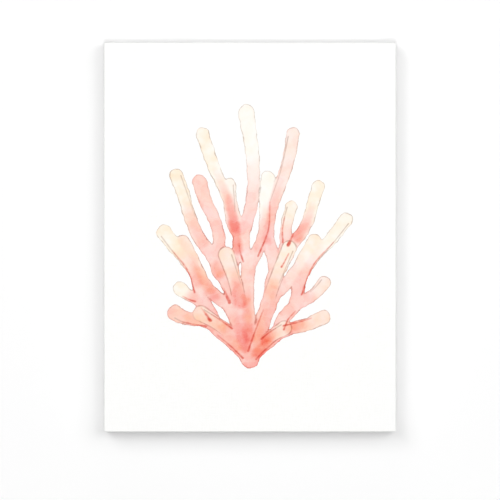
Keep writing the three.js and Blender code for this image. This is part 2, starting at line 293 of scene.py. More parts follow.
@dataclass(frozen=True)
class WatercolourInk(Finish):
    """Pigment print of a watercolour: clear washes that pool at their rims and grain in the weave.

    Each pigment takes light away in proportion to how much of it lies there, as a real wash does, so
    thin paint stays clean and pale and thick paint turns deep.
    """

    paper: str = "#FEFEFD"
    depth: float = 0.06 * MM
    line_mm: float = 1.5
    pool_mm: float = 4.5
    weave: Weave = Weave()

    def grain(
        self, tree: NodeTree, size_mm: float, detail: float, low: float, high: float
    ) -> NodeSocket:
        """Random unevenness of the paint.

        Args:
            tree: the material's tree.
            size_mm: the size of its patches.
            detail: how many finer layers it has.
            low: the value where it is weakest.
            high: the value where it is strongest.

        Returns:
            A value between low and high.
        """
        place = add(tree, "Attribute", output="Vector", attribute_name="cloth")
        patch = {"Vector": place, "Scale": 1 / (size_mm * MM), "Detail": detail}
        return add(tree, "MapRange", (add(tree, "TexNoise", patch), 0.3, 0.7, low, high))

    def dried_edge(self, tree: NodeTree, size_mm: float, at: float, gain: float) -> NodeSocket:
        """A second layer of wash over part of the first, which ends in a clear edge.

        Args:
            tree: the material's tree.
            size_mm: the size of its patches.
            at: how little of the area it covers, 0 to 1.
            gain: how much paint it adds.

        Returns:
            A factor on the amount of paint, 1 where there is no second layer.
        """
        patch = self.grain(tree, size_mm, 1.5, 0.0, 1.0)
        return add(tree, "MapRange", (patch, at, at + 0.06, 1.0, 1.0 + gain))

    def line(self, tree: NodeTree, distance: str) -> NodeSocket:
        """A thin broken line of pooled paint.

        Args:
            tree: the material's tree.
            distance: name of the distance in millimetres that is nought on the line.

        Returns:
            Strength of the line, 0 to about 1.
        """
        far = add(tree, "Attribute", output="Fac", attribute_name=distance)
        width = self.grain(tree, 8, 1.0, 0.5 * self.line_mm, 1.3 * self.line_mm)
        share = add(tree, "Math", (far, width), operation="DIVIDE")
        near = add(tree, "Math", (1.0, share), operation="SUBTRACT", use_clamp=True)
        soft = add(tree, "Math", (near, 0.8), operation="POWER")
        broken = self.grain(tree, 19, 2.0, 0.1, 1.1)
        return add(tree, "Math", (soft, broken), operation="MULTIPLY")

    def pool(self, tree: NodeTree) -> NodeSocket:
        """Paint that settles in a soft band inside the outline.

        Args:
            tree: the material's tree.

        Returns:
            A factor on the amount of paint.
        """
        far = add(tree, "Attribute", output="Fac", attribute_name="edge")
        band = add(tree, "MapRange", (far, 0.0, self.pool_mm, 1.0, 0.0))
        deep = add(tree, "Math", (band, 2.0), operation="POWER")
        return add(tree, "Math", (deep, 0.3, 0.93), operation="MULTIPLY_ADD")

    def paint(self, tree: NodeTree) -> dict[str, object]:
        """Each pigment where it was washed on, and what light it leaves of the white canvas."""
        drawn = {
            key: add(tree, "Attribute", output="Fac", attribute_name=key)
            for key in ("coral", "peach", "red", "sepia", "rim")
        }
        body = drawn["coral"]
        for factor in (
            self.grain(tree, 24, 3.0, 0.78, 1.22),
            self.grain(tree, 1.7, 2.0, 0.9, 1.1),
            self.dried_edge(tree, 31, 0.5, 0.2),
            self.dried_edge(tree, 15, 0.62, 0.16),
            self.pool(tree),
        ):
            body = add(tree, "Math", (body, factor), operation="MULTIPLY")
        cool = self.grain(tree, 36, 2.0, 0.0, 0.8)
        rose = add(tree, "Math", (body, cool), operation="MULTIPLY")
        coral = add(tree, "Math", (body, rose), operation="SUBTRACT")
        patch = self.grain(tree, 20, 2.0, 0.45, 1.5)
        peach = add(tree, "Math", (drawn["peach"], patch), operation="MULTIPLY")

        outline = add(tree, "Math", (self.line(tree, "edge"), drawn["rim"]), operation="MULTIPLY")
        inner = add(tree, "Math", (self.line(tree, "fold"), 0.8), operation="MULTIPLY")
        rim = add(tree, "Math", (outline, inner), operation="MAXIMUM")
        strong = add(tree, "MapRange", (drawn["coral"], 0.05, 0.5, 0.0, 1.0))
        worn = self.grain(tree, 6, 2.0, 0.5, 1.3)
        red_touch = add(tree, "Math", (drawn["red"], worn), operation="MULTIPLY")
        red_rim = add(tree, "Math", (rim, strong), operation="MULTIPLY")
        red = add(tree, "Math", (red_rim, 0.46, red_touch), operation="MULTIPLY_ADD")
        grey = add(tree, "MapRange", (strong, 0.0, 1.0, 0.7, 0.3))
        sepia = add(tree, "Math", (rim, grey, drawn["sepia"]), operation="MULTIPLY_ADD")

        lost = (0.0, 0.0, 0.0)
        for pigment, amount in zip(Pigment, (coral, rose, peach, red, sepia)):
            lost = add(tree, "VectorMath", (pigment.absorbed, amount, lost), operation="MULTIPLY_ADD")
        kept = []
        for part in add(tree, "SeparateXYZ", (lost,)).node.outputs:
            minus = add(tree, "Math", (part, -1.0), operation="MULTIPLY")
            kept.append(add(tree, "Math", (math.e, minus), operation="POWER"))
        colours = {0: 1.0, 6: linear(self.paper), 7: add(tree, "CombineColor", tuple(kept))}
        relief = {"Height": self.weave.height(tree), "Strength": 1.0, "Distance": self.depth}
        return {
            "Base Color": add(tree, "Mix", colours, output=2, data_type="RGBA", blend_type="MULTIPLY"),
            "Normal": add(tree, "Bump", relief),
            "Roughness": 0.7,
            "Specular IOR Level": 0.3,
        }


class Grain(Enum):
    """The way that the fibres of a piece of wood run."""

    ACROSS = "X"
    UPRIGHT = "Z"


@dataclass(frozen=True)
class PlanedPine(Finish):
    """Finger jointed pine, planed and left bare: straw colour, with darker late wood in fine stripes.

    Short offcuts are glued end to end with a zigzag joint, and each has a tone and stripes of its own.
    A stripe is the edge of a growth ring, so it is soft on one side and sharp on the other.
    """

    along: Grain = Grain.ACROSS
    early: str = "#EAD2A8"
    late: str = "#CFA066"
    glue: str = "#A97C4A"
    stripe: float = 3.1 * MM
    pith: tuple[float, float, float] = (0.41, 0.19, 0.13)
    offcut: float = 235 * MM
    finger_pitch: float = 3.8 * MM
    finger_length: float = 9 * MM
    fibre: float = MM / 1.5
    cloud: float = MM / 0.045

    def offcuts(self, tree: NodeTree, place: NodeSocket) -> tuple[NodeSocket, NodeSocket]:
        """Splits the length into offcuts with a zigzag between them.

        Args:
            tree: the material's tree.
            place: position in the object's frame.

        Returns:
            A random value for each offcut, and a value that is 1 on the glue line.
        """
        axes = add(tree, "SeparateXYZ", (place,)).node.outputs
        other = {Grain.ACROSS: "Z", Grain.UPRIGHT: "X"}[self.along]
        half = self.finger_pitch / 2
        zig = add(tree, "Math", (axes[other], half), operation="PINGPONG")
        reach = (zig, self.finger_length / half, axes[self.along.value])
        shifted = add(tree, "Math", reach, operation="MULTIPLY_ADD")
        counted = add(tree, "Math", (shifted, 1 / self.offcut), operation="MULTIPLY")
        number = add(tree, "Math", (counted,), operation="FLOOR")
        part = add(tree, "Math", (counted,), operation="FRACT")
        own = add(tree, "TexWhiteNoise", {"W": number}, noise_dimensions="1D")
        line = 0.5 * MM / self.offcut
        glue = add(tree, "MapRange", (part, line, 2 * line, 1.0, 0.0))
        return own, glue

    def paint(self, tree: NodeTree) -> dict[str, object]:
        """Growth rings stretched along the wood, fibres over them, and joints across."""
        place = add(tree, "TexCoord", output="Object")
        own, glue = self.offcuts(tree, place)
        axes = (0.03, 1.0, 1.0) if self.along is Grain.ACROSS else (1.0, 1.0, 0.03)
        drawn = add(tree, "VectorMath", (place, axes), operation="MULTIPLY")
        apart = add(tree, "VectorMath", {0: self.pith, "Scale": own}, operation="SCALE")
        moved = add(tree, "VectorMath", (drawn, apart), operation="ADD")
        rings = {"Vector": moved, "Scale": 2 * math.pi / (20 * self.stripe), "Distortion": 3.5}
        stripes = add(
            tree,
            "TexWave",
            rings | {"Detail": 2.0, "Detail Scale": 0.5},
            output="Fac",
            wave_type="RINGS",
            rings_direction=self.along.value,
            wave_profile="SAW",
        )
        fibre = add(tree, "TexNoise", {"Vector": moved, "Scale": 1 / self.fibre, "Detail": 3.0})
        late = add(tree, "Math", (stripes, 2.6), operation="POWER")
        cloud = add(tree, "TexNoise", {"Vector": moved, "Scale": 1 / self.cloud, "Detail": 2.0})
        strength = add(tree, "MapRange", (cloud, 0.3, 0.7, 0.35, 0.95))
        faded = add(tree, "Math", (late, strength), operation="MULTIPLY")
        veined = add(tree, "Math", (fibre, 0.5, faded), operation="MULTIPLY_ADD")
        shade = add(tree, "MapRange", (veined, 0.1, 1.2, 0.0, 1.0))
        colours = {0: shade, 6: linear(self.early), 7: linear(self.late)}
        wood = add(tree, "Mix", colours, output=2, data_type="RGBA")
        tone = add(tree, "MapRange", (own, 0.0, 1.0, 0.86, 1.06))
        toned = add(tree, "HueSaturation", {"Color": wood, "Value": tone})
        joint = {0: glue, 6: toned, 7: linear(self.glue)}
        return {
            "Base Color": add(tree, "Mix", joint, output=2, data_type="RGBA"),
            "Normal": add(tree, "Bump", {"Height": fibre, "Strength": 1.0, "Distance": 0.12 * MM}),
            "Roughness": add(tree, "MapRange", (shade, 0.0, 1.0, 0.66, 0.52)),
        }


@dataclass(frozen=True)
class SawnBeech(Finish):
    """Sawn beech of the corner keys: pinkish tan with short dark flecks and rough faces."""

    body: str = "#D9B68C"
    fleck: str = "#A97E55"
    fleck_width: float = MM / 0.9
    saw_mark: float = MM / 0.12

    def paint(self, tree: NodeTree) -> dict[str, object]:
        """Flecks drawn out along the grain."""
        place = add(tree, "TexCoord", output="Object")
        drawn = add(tree, "VectorMath", (place, (0.3, 1.0, 0.3)), operation="MULTIPLY")
        cells = {"Vector": drawn, "Scale": 1 / self.fleck_width}
        flecks = add(tree, "TexVoronoi", cells, output="Distance")
        cloud = add(tree, "TexNoise", {"Vector": place, "Scale": 1 / self.saw_mark, "Detail": 4.0})
        mixed = add(tree, "Math", (cloud, 0.9, flecks), operation="MULTIPLY_ADD")
        shade = add(tree, "MapRange", (mixed, 0.55, 1.3, 1.0, 0.0))
        colours = {0: shade, 6: linear(self.body), 7: linear(self.fleck)}
        return {
            "Base Color": add(tree, "Mix", colours, output=2, data_type="RGBA"),
            "Normal": add(tree, "Bump", {"Height": cloud, "Strength": 1.0, "Distance": 0.3 * MM}),
            "Roughness": 0.78,
        }


@dataclass(frozen=True)
class ZincedSteel(Finish):
    """Steel with a thin bright coat of zinc: a cool grey gloss, clouded and lightly drawn."""

    colour: str = "#C3C4C3"
    cloud: str = "#9A9C9D"
    spangle: float = MM / 0.42
    streak: float = 0.5 * MM
    roughness: float = 0.32

    def paint(self, tree: NodeTree) -> dict[str, object]:
        """Clouded grey with finely drawn gloss."""
        place = add(tree, "TexCoord", output="Object")
        spangle = add(tree, "TexNoise", {"Vector": place, "Scale": 1 / self.spangle, "Detail": 3.0})
        colours = {0: spangle, 6: linear(self.cloud), 7: linear(self.colour)}
        drawn = add(tree, "VectorMath", (place, (0.1, 1.0, 1.0)), operation="MULTIPLY")
        lines = add(tree, "TexNoise", {"Vector": drawn, "Scale": 1 / self.streak, "Detail": 2.0})
        low, high = self.roughness - 0.08, self.roughness + 0.14
        return {
            "Base Color": add(tree, "Mix", colours, output=2, data_type="RGBA"),
            "Normal": add(tree, "Bump", {"Height": lines, "Strength": 0.5, "Distance": 0.02 * MM}),
            "Roughness": add(tree, "MapRange", (lines, 0.3, 0.7, low, high)),
            "Metallic": 1.0,
        }


@dataclass(frozen=True)
class MouldedRubber(Finish):
    """Matt black rubber with the fine pitted skin of its mould and a little grey dust."""

    black: str = "#2B2B2C"
    dust: str = "#4A4947"
    pit: float = MM / 1.4

    def paint(self, tree: NodeTree) -> dict[str, object]:
        """Dust caught between the pits."""
        place = add(tree, "TexCoord", output="Object")
        pits = add(tree, "TexNoise", {"Vector": place, "Scale": 1 / self.pit, "Detail": 3.0})
        dusty = add(tree, "MapRange", (pits, 0.45, 0.8, 0.0, 1.0))
        colours = {0: dusty, 6: linear(self.black), 7: linear(self.dust)}
        return {
            "Base Color": add(tree, "Mix", colours, output=2, data_type="RGBA"),
            "Normal": add(tree, "Bump", {"Height": pits, "Strength": 0.6, "Distance": 0.08 * MM}),
            "Roughness": 0.75,
        }


@dataclass(frozen=True)
class MattPaint(Finish):
    """Plain matt paint of the wall or the floor, which show nothing of their own.

    A one-sided surface is seen from its front only, so that the back of the print can be looked at.
    A little glow keeps a large surface evenly pale out to where no lamp reaches.
    """

    colour: str = "#FFFFFF"
    one_sided: bool = False
    glow: float = 0.0

    def paint(self, tree: NodeTree) -> dict[str, object]:
        """One even colour, clear from behind where it is one-sided."""
        if self.one_sided:
            behind = add(tree, "NewGeometry", output="Backfacing")
            front = tree.nodes["Principled BSDF"].outputs["BSDF"]
            seen = add(tree, "MixShader", (behind, front, add(tree, "BsdfTransparent")))
            feed(tree.nodes["Material Output"], {"Surface": seen})
        return {
            "Base Color": linear(self.colour),
            "Emission Color": linear("#FFFFFF"),
            "Emission Strength": self.glow,
            "Roughness": 1.0,
            "Specular IOR Level": 0.0,
        }


# ---------------------------------------------------------------- the printed coral


class Layer(Enum):
    """Whether a branch melts into what it grows from, or was painted over what lies behind it."""

    JOINED = 0
    OVER = 1


@dataclass(frozen=True)
class Stroke:
    """A brush stroke. Places are millimetres right of and above the middle of the picture."""

    route: np.ndarray
    root: float
    tip: float

    def centreline(self, step_mm: float = 3.0) -> np.ndarray:
        """A smooth curve through the route.

        Args:
            step_mm: about how far apart its points are.

        Returns:
            One row of x and z per point.
        """
        knots = self.route
        ends = np.vstack([2 * knots[0] - knots[1], knots, 2 * knots[-1] - knots[-2]])
        curve = [knots[:1]]
        for before, start, stop, after in zip(ends, ends[1:], ends[2:], ends[3:]):
            count = max(2, int(np.hypot(*(stop - start)) / step_mm))
            t = (np.arange(1, count + 1) / count)[:, None]
            bend = (2 * before - 5 * start + 4 * stop - after) * t**2
            twist = (3 * start - before - 3 * stop + after) * t**3
            curve.append(start + 0.5 * ((stop - before) * t + bend + twist))
        return np.vstack(curve)

    def radius(self, run: np.ndarray) -> np.ndarray:
        """Radius at a share of the length."""
        return self.root + (self.tip - self.root) * run

    def distance(self, places: np.ndarray) -> tuple[np.ndarray, np.ndarray]:
        """How far each place is from the stroke's outline, and how far along the stroke it lies.

        Args:
            places: one row of x and z per place, in millimetres.

        Returns:
            Distance in millimetres, below nought inside, and the share of the length from the root.
        """
        line = self.centreline()
        steps = np.diff(line, axis=0)
        lengths = np.hypot(steps[:, 0], steps[:, 1])
        runs = np.concatenate([[0.0], np.cumsum(lengths)]) / lengths.sum()
        best = np.full(len(places), np.inf)
        along = np.zeros(len(places))
        for start, step, length, low, high in zip(line, steps, lengths, runs, runs[1:]):
            offset = places - start
            share = np.clip(offset @ step / length**2, 0.0, 1.0)
            away = np.hypot(*(offset - share[:, None] * step).T)
            run = low + share * (high - low)
            gap = away - self.radius(run)
            closer = gap < best
            best[closer] = gap[closer]
            along[closer] = run[closer]
        return best, along

    def near(self, places: np.ndarray, reach: float) -> np.ndarray:
        """Which places lie within reach of the box round the stroke."""
        low, high = np.min(self.route, axis=0) - reach, np.max(self.route, axis=0) + reach
        return np.all((places > low) & (places < high), axis=1)


@dataclass(frozen=True)
class Branch(Stroke):
    """One branch of the coral, from its root to its rounded tip.

    Coral and peach are how much of each wash lies at the root and at the tip, from 0 for bare canvas to
    about 1. Rim is the strength of the line round the branch.
    """

    root: float = 8.0
    tip: float = 8.0
    coral: tuple[float, float] = (0.45, 0.08)
    peach: tuple[float, float] = (0.08, 0.5)
    rim: float = 0.8
    layer: Layer = Layer.JOINED
    waist: float = 0.13

    def radius(self, run: np.ndarray) -> np.ndarray:
        """Radius at a share of the length: slimmer in the middle and full at the tip."""
        straight = self.root + (self.tip - self.root) * run
        return straight - self.waist * self.tip * np.sin(math.pi * run)


@dataclass(frozen=True)
class Touch(Stroke):
    """A later touch of the brush inside the branches: a glaze, a fine line, or a drop of deep red."""

    root: float = 1.2
    tip: float = 0.5
    pigment: Pigment = Pigment.RED
    strength: tuple[float, float] = (0.7, 0.7)
    soft: float = 0.9


def unit(arrow: np.ndarray) -> np.ndarray:
    """The same direction with a length of one."""
    return arrow / np.hypot(*arrow)


def leaning(angle: float) -> np.ndarray:
    """The direction at an angle from upright."""
    return np.array([math.sin(angle), math.cos(angle)])


@dataclass
class CoralGrowth:
    """Grows a fan of coral from one foot: limbs fork until each carries a single rounded finger.

    A place in the fan is an angle from upright, in radians, and a share of the way from the foot to a
    rounded outline, so that the fingers fill the outline evenly. Lengths are in millimetres.
    Swell is the extra radius per doubling of the fingers carried. The first fork and the least limb are
    shares of the way to the outline.
    """

    seed: int = 2
    foot: tuple[float, float] = (0.0, -192.0)
    reach: tuple[float, float] = (156.0, 198.0)
    spread: float = math.radians(66)
    fingers: int = 17
    boughs: int = 5
    front: tuple[float, ...] = (-0.62, -0.2, 0.3, 0.66)
    radius: float = 10.0
    swell: float = 0.8
    first_fork: float = 0.16
    least_limb: float = 0.11
    branches: list[Branch] = field(default_factory=list)
    touches: list[Touch] = field(default_factory=list)

    def __post_init__(self) -> None:
        """Spaces the fingers over the outline, long and short by turns."""
        self.random = np.random.default_rng(self.seed)
        sweep = np.linspace(-self.spread, self.spread, 200)
        outline = np.array([self.place(angle, 1.0) for angle in sweep])
        room = np.hypot(*(outline[1:] - self.foot).T) * np.hypot(*np.diff(outline, axis=0).T)
        walked = np.concatenate([[0.0], np.cumsum(room)])
        spots = np.arange(self.fingers) + 0.5 + self.random.uniform(-0.25, 0.25, self.fingers)
        self.angles = np.interp(spots / self.fingers * walked[-1], walked, sweep)
        low = np.where(np.arange(self.fingers) % 2 == 0, 0.84, 0.66)
        self.ends = low + self.random.uniform(0.0, 0.15, self.fingers)

    def place(self, angle: float, share: float) -> np.ndarray:
        """The spot at an angle and a share of the way to the outline."""
        aim, (wide, tall) = leaning(angle), self.reach
        length = 2 * aim[1] / tall / ((aim[0] / wide) ** 2 + (aim[1] / tall) ** 2)
        return self.foot + length * share * aim

    def limb(self, start: np.ndarray, heading: np.ndarray, stop: np.ndarray, load: int) -> np.ndarray:
        """Grows one limb, which bends from one direction into another.

        Args:
            start: where it begins.
            heading: the direction in which it leaves, with a length of one.
            stop: where it ends.
            load: how many fingers it carries. With 1 it is a finger itself.

        Returns:
            The direction in which it ends.
        """
        span = np.hypot(*(stop - start))
        upward = (self.random.uniform(-0.3, 0.3), 0.35)
        ahead = unit(unit(stop - start) + 0.5 * unit(stop - self.foot) + upward)
        pulls = (start, start + 0.42 * span * heading, stop - 0.38 * span * ahead, stop)
        run = np.linspace(0.0, 1.0, 6)[:, None]
        back = 1.0 - run
        weights = (back**3, 3 * back**2 * run, 3 * back * run**2, run**3)
        route = sum(weight * pull for weight, pull in zip(weights, pulls))
        root = self.radius + self.swell * math.log2(load + 1)
        if load > 1:
            tip = self.radius + self.swell * math.log2(0.5 * load + 1)
        else:
            tip = self.radius * self.random.uniform(0.95, 1.3)
        strong = self.random.uniform(0.75, 1.2)
        heights = [np.hypot(*(spot - self.foot)) / (2 * self.reach[1]) for spot in (start, stop)]
        low, high = (strong * (0.42 - 0.34 * height) for height in heights)
        if load > 1:
            branch = Branch(route, root, tip, (low, high), (0.1, 0.2), 0.8, waist=0.04)
        else:
            high = self.random.choice((-0.05, 0.02, 0.1, 0.24), p=(0.3, 0.35, 0.2, 0.15))
            peach = (0.08, self.random.uniform(0.12, 0.5))
            branch = Branch(route, root, tip, (low, high), peach, self.random.uniform(0.6, 1.1))
        self.branches.append(branch)
        self.shade(branch, load == 1)
        return ahead

    def fork(self, start: np.ndarray, heading: np.ndarray, low: float, first: int, count: int) -> None:
        """Grows the limb that carries some of the fingers, and what it forks into.

        Args:
            start: where it begins.
            heading: the direction in which it leaves.
            low: how far out it begins, as a share of the way to the outline.
            first: number of its first finger.
            count: how many fingers it carries.
        """
        if count == 1:
            self.limb(start, heading, self.place(self.angles[first], self.ends[first]), 1)
            return
        light = 1 - math.log(count) / math.log(self.fingers / 2)
        level = self.first_fork + 0.4 * light + self.random.uniform(-0.05, 0.06)
        level = max(level, low + self.least_limb)
        stop = self.place(self.angles[first : first + count].mean(), level)
        ahead = self.limb(start, heading, stop, count)
        left = int(np.clip(round(count * self.random.uniform(0.3, 0.7)), 1, count - 1))
        side = np.array([ahead[1], -ahead[0]])
        self.stain(stop, ahead)
        for lean, begin, part in ((-0.75, first, left), (0.75, first + left, count - left)):
            away = unit(ahead + lean * side * self.random.uniform(0.7, 1.5))
            self.fork(stop - 0.2 * self.radius * ahead, away, level, begin, part)

    def shade(self, branch: Branch, finger: bool) -> None:
        """Glazes, edge lines and drops of other paint on a limb.

        Args:
            branch: the limb.
            finger: whether it is a finger, which can have a grey line too.
        """
        line, thick = branch.route, branch.tip
        along = unit(line[-1] - line[0])
        side = np.array([along[1], -along[0]]) * self.random.choice((-1, 1))
        chance = self.random.uniform(size=4)

        def touch(shift: float, runs: tuple[float, float], *how: object) -> None:
            """Adds a stroke beside the middle of the limb, from one share of its length to another."""
            at = np.linspace(*runs, 3) * (len(line) - 1)
            spots = np.stack([np.interp(at, np.arange(len(line)), axis) for axis in line.T], axis=1)
            self.touches.append(Touch(spots + shift * thick * side, *how))

        if chance[0] < 0.4:
            strength = (self.random.uniform(0.15, 0.45), 0.0)
            touch(0.1, (0.2, 0.85), 0.75 * thick, 0.5 * thick, Pigment.CORAL, strength, 4.0)
        if chance[1] < 0.4:
            touch(0.6, (0.1, 0.75), 1.2, 0.7, Pigment.RED, (0.55, 0.25), 1.0)
        if chance[2] < 0.5 and finger:
            touch(0.62, (0.98, 0.5), 0.7, 0.5, Pigment.SEPIA, (0.4, 0.2), 0.8)
        if chance[3] < 0.25:
            touch(0.0, (0.3, 0.6), 0.6 * thick, 0.6 * thick, Pigment.PEACH, (0.4, 0.2), 5.0)

    def stain(self, at: np.ndarray, ahead: np.ndarray) -> None:
        """Red that sometimes runs into a fork.

        Args:
            at: where the fork is.
            ahead: the direction of the limb that ends there.
        """
        if self.random.uniform() < 0.55:
            route = at + np.outer((26.0, 14.0, 2.0), ahead)
            strength = (0.2, self.random.uniform(0.4, 0.8))
            self.touches.append(Touch(route, 0.6, 2.2, Pigment.RED, strength, 1.1))

    def front_finger(self, angle: float) -> None:
        """Paints a short finger over the limbs behind it.

        Args:
            angle: where in the fan it stands.
        """
        low = self.random.uniform(0.08, 0.2)
        start = self.place(angle * 0.85, low)
        stop = self.place(angle * self.random.uniform(0.9, 1.15), low + self.random.uniform(0.24, 0.36))
        ahead = unit(stop - start) + (self.random.uniform(-0.3, 0.3), 0.0)
        bend = 6.0 * np.array([-ahead[1], ahead[0]]) * self.random.uniform(-1, 1)
        route = np.array([start, start + 0.5 * (stop - start) + bend, stop])
        coral = (0.42, self.random.uniform(0.02, 0.15))
        size = self.radius * self.random.uniform(0.95, 1.15)
        self.branches.append(Branch(route, size, 1.1 * size, coral, (0.1, 0.4), 1.0, Layer.OVER))
        self.shade(self.branches[-1], True)

    def grow(self) -> tuple[list[Branch], list[Touch]]:
        """Grows the whole coral: its branches, and the later touches of the brush."""
        count = self.boughs + 1
        ends = np.linspace(0, self.fingers, count) + self.random.uniform(-0.8, 0.8, count)
        ends = [0, *ends[1:-1].round().astype(int).tolist(), self.fingers]
        for first, last in zip(ends, ends[1:]):
            heading = leaning(0.8 * self.angles[first:last].mean())
            self.fork(np.array(self.foot), heading, 0.0, first, last - first)
        for lean in self.front:
            self.front_finger(lean * self.spread)
        return self.branches, self.touches


@dataclass
class CoralPrint:
    """The picture: coral branches in watercolour, as a layer of ink just proud of the canvas.

    A place further than search_mm from the box round a branch counts as far_mm from that branch.
    """

    centre: Vector
    front: float
    growth: CoralGrowth = field(default_factory=CoralGrowth)
    web_mm: float = 3.4
    cell_mm: float = 0.95
    drift_mm: float = 0.8
    ripple_mm: float = 0.3
    far_mm: float = 1000.0
    search_mm: float = 25.0
    margin_mm: float = 20.0
    blend_mm: float = 2.0
    core_mm: float = 6.0
    ink: float = 0.08 * MM
    finish: Finish = field(default_factory=lambda: WatercolourInk("watercolour_ink"))

    def __post_init__(self) -> None:
        """Grows the coral that is printed."""
        self.branches, self.touches = self.growth.grow()

    def unsteady(self, places: np.ndarray) -> np.ndarray:
        """How far a hand that isn't quite steady lets the outline stray.

        Args:
            places: one row of x and z per place, in millimetres.

        Returns:
            Millimetres outwards or inwards.
        """
        x, z = places.T
        slow = np.sin(0.23 * x + 1.7 * np.sin(0.12 * z)) * np.cos(0.19 * z + 1.3 * np.sin(0.14 * x))
        quick = np.sin(0.83 * x + 2.1 * np.sin(0.37 * z)) * np.cos(0.71 * z + 1.9 * np.sin(0.41 * x))
        return self.drift_mm * slow + self.ripple_mm * quick

    def outline(self, places: np.ndarray) -> np.ndarray:
        """Signed distance to the whole coral, with webs in its forks.

        Args:
            places: one row of x and z per place, in millimetres.

        Returns:
            Distance in millimetres, below nought inside.
        """
        whole = np.full(len(places), self.far_mm)
        for branch in self.branches:
            near = np.full(len(places), self.far_mm)
            close = branch.near(places, self.search_mm)
            near[close] = branch.distance(places[close])[0]
            mix = np.clip(0.5 + 0.5 * (near - whole) / self.web_mm, 0.0, 1.0)
            whole = near + (whole - near) * mix - self.web_mm * mix * (1.0 - mix)
        return whole + self.unsteady(places)

    def trace(self) -> tuple[np.ndarray, list[list[int]]]:
        """Cuts the coral's area into small faces that follow its outline.

        Returns:
            Places in millimetres, and the faces between them.
        """
        route = np.vstack([branch.route for branch in self.branches])
        low, high = route.min(axis=0) - self.margin_mm, route.max(axis=0) + self.margin_mm
        xs, zs = (np.arange(a, b, self.cell_mm) for a, b in zip(low, high))
        grid = np.stack(np.meshgrid(xs, zs, indexing="ij"), axis=-1)
        depth = self.outline(grid.reshape(-1, 2)).reshape(grid.shape[:2])
        places: list[np.ndarray] = []
        numbers: dict[tuple, int] = {}

        def number(a: tuple[int, int], b: tuple[int, int]) -> int:
            """Finds or makes a vertex.

            Args:
                a: a corner of the grid.
                b: the same corner, or the next one if the outline crosses between them.

            Returns:
                Number of the vertex at that corner or crossing.
            """
            key = (a, b) if a <= b else (b, a)
            if key not in numbers:
                share = 0.0 if a == b else depth[a] / (depth[a] - depth[b])
                numbers[key] = len(places)
                places.append(grid[a] + share * (grid[b] - grid[a]))
            return numbers[key]

        inside = depth < 0
        cells = inside[:-1, :-1] | inside[1:, :-1] | inside[1:, 1:] | inside[:-1, 1:]
        faces = []
        for i, j in zip(*(axis.tolist() for axis in np.nonzero(cells))):
            corners = ((i, j), (i + 1, j), (i + 1, j + 1), (i, j + 1))
            face = []
            for a, b in zip(corners, corners[1:] + corners[:1]):
                if inside[a]:
                    face.append(number(a, a))
                if inside[a] != inside[b]:
                    face.append(number(a, b))
            faces.append(face)
        return np.array(places), faces

    def paints(self, places: np.ndarray) -> dict[str, np.ndarray]:
        """How much of each paint lies at each place.

        Args:
            places: one row of x and z per vertex, in millimetres.

        Returns:
            Per vertex: the amount of coral, peach, red and sepia, the strength of the rim, and the
            distances in millimetres from the outline and from the edge of a branch painted over others.
        """
        found = self.washes(places)
        found |= {"red": np.zeros(len(places)), "sepia": np.zeros(len(places))}
        stray = self.unsteady(1.4 * places[:, ::-1])
        for touch in self.touches:
            gap, along = touch.distance(places)
            gap = gap + stray * min(1.0, touch.tip / 3)
            start, stop = touch.strength
            amount = start + (stop - start) * along
            cover = 1.0 - smoothstep(-touch.soft, touch.soft, gap)
            found[touch.pigment.name.lower()] += amount * cover
        for key in ("coral", "peach"):
            found[key] = np.maximum(found[key], 0.0)
        found["edge"] = np.maximum(-self.outline(places), 0.0)
        return found

    def washes(self, places: np.ndarray) -> dict[str, np.ndarray]:
        """The first washes, branch by branch: joined ones blend, and later ones cover.

        Args:
            places: one row of x and z per vertex, in millimetres.

        Returns:
            Amounts of coral and peach, the strength of the rim, and the distance from the edge of a
            branch painted over others.
        """
        count = len(places)
        weight = np.full(count, 1e-6)
        sums = {key: np.zeros(count) for key in ("coral", "peach", "rim")}
        fold = np.full(count, 99.0)
        for branch in sorted(self.branches, key=lambda branch: branch.layer.value):
            gap, along = branch.distance(places)
            fade = smoothstep(0.0, 0.9, along)
            values = {"rim": np.full(count, branch.rim)}
            for key, (root, tip) in {"coral": branch.coral, "peach": branch.peach}.items():
                values[key] = root + (tip - root) * fade
            if branch.layer is Layer.JOINED:
                share = np.exp(-np.clip(gap + self.core_mm, -self.core_mm, 40.0) / self.blend_mm)
                for key, value in values.items():
                    sums[key] += share * value
                weight += share
                continue
            grown = smoothstep(0.08, 0.5, along)
            cover = (1.0 - smoothstep(-0.7, 0.5, gap)) * grown
            for key, value in values.items():
                sums[key] += cover * (value * weight - sums[key])
            behind = self.outline(places) < -1.2
            line = np.abs(gap) / np.maximum(grown, 0.02)
            fold[behind] = np.minimum(fold, line)[behind]
        found = {key: value / weight for key, value in sums.items()}
        return found | {"fold": fold}

    def build(self) -> Object:
        """Makes the layer of ink."""
        places, faces = self.trace()
        x, z = self.centre.x + MM * places[:, 0], self.centre.z + MM * places[:, 1]
        points = np.stack([x, np.full(len(x), self.front - self.ink), z], axis=1)
        attributes = self.paints(places)
        attributes["cloth"] = np.stack([x, z, np.zeros(len(x))], axis=1)
        piece = mesh_object("coral_print", points, faces, attributes)
        piece.data.materials.append(self.finish.build())
        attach(piece, "root")
        return piece


# ---------------------------------------------------------------- the canvas


@dataclass(frozen=True)
class Ring:
    """One line of cloth that runs round the print, level with its edge.

    It lies inset from the edge, at a depth y, and a run of cloth past the start of the front bend.
    Outward and backward are the parts of the direction that it faces.
    """

    inset: float
    y: float
    run: float
    outward: float
    backward: float


